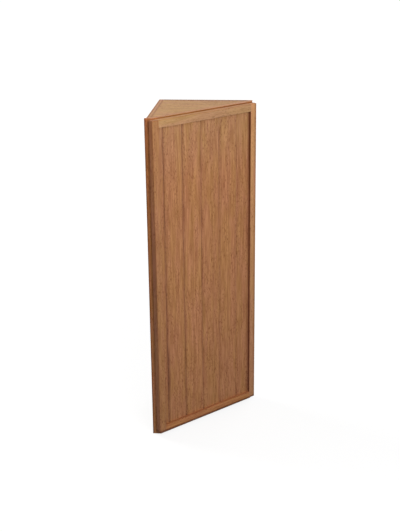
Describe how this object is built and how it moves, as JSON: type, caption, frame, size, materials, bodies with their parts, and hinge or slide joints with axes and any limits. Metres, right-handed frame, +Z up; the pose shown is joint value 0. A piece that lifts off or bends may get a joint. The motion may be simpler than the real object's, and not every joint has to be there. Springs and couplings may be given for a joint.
{
  "type": "angled wall end cabinet",
  "caption": "Tall wall cabinet that ends a kitchen run: corner box with a diagonal front, a slim-framed V-grooved wooden door hinged at the wall side, and adjustable shelves.",
  "frame": {"origin": "middle of the plan outline's box, at the underside", "axes": "+X to the right along the wall, +Y towards the wall, +Z up"},
  "size_m": [0.3252, 0.332, 1.0668],
  "materials": {
    "stained_door_wood": "satin",
    "stained_panel_wood": "satin",
    "stained_frame_wood": "satin",
    "veneered_board": "satin",
    "plain_rail_wood": "satin",
    "veneered_shelf": "satin",
    "hinge_steel": "satin",
    "pin_steel": "satin",
    "bumper_rubber": "matt",
    "catch_plastic": "matt",
    "magnet_steel": "satin"
  },
  "bodies": {
    "cabinet": {"frame_stile_left": "stained_frame_wood", "frame_stile_right": "stained_frame_wood", "frame_rail_top": "stained_frame_wood", "frame_rail_bottom": "stained_frame_wood", "side_panel_left": "veneered_board", "back_panel": "veneered_board", "top_panel": "veneered_board", "bottom_panel": "veneered_board", "hanging_rail_upper": "plain_rail_wood", "hanging_rail_lower": "plain_rail_wood", "shelf_lower": "veneered_shelf", "shelf_lipping_lower": "stained_frame_wood", "hinge_frame_leaf_lower": "hinge_steel", "hinge_pin_lower": "hinge_steel", "shelf_middle": "veneered_shelf", "shelf_lipping_middle": "stained_frame_wood", "hinge_frame_leaf_middle": "hinge_steel", "hinge_pin_middle": "hinge_steel", "shelf_upper": "veneered_shelf", "shelf_lipping_upper": "stained_frame_wood", "hinge_frame_leaf_upper": "hinge_steel", "hinge_pin_upper": "hinge_steel", "shelf_pins": "pin_steel", "catch_case": "catch_plastic", "catch_magnet": "magnet_steel"},
    "door": {"door_stile_left": "stained_door_wood", "door_stile_right": "stained_door_wood", "door_rail_top": "stained_door_wood", "door_rail_bottom": "stained_door_wood", "door_panel": "stained_panel_wood", "hinge_door_leaf_lower": "hinge_steel", "hinge_door_leaf_middle": "hinge_steel", "hinge_door_leaf_upper": "hinge_steel", "door_bumper_lower": "bumper_rubber", "door_bumper_upper": "bumper_rubber", "catch_strike": "hinge_steel"}
  },
  "joints": [
    {"name": "door_hinge", "type": "hinge", "parent": "cabinet", "child": "door", "pos_m": [0.15176, 0.14655, 0.5334], "axis": [0, 0, 1], "range_deg": [0, 115]}
  ]
}
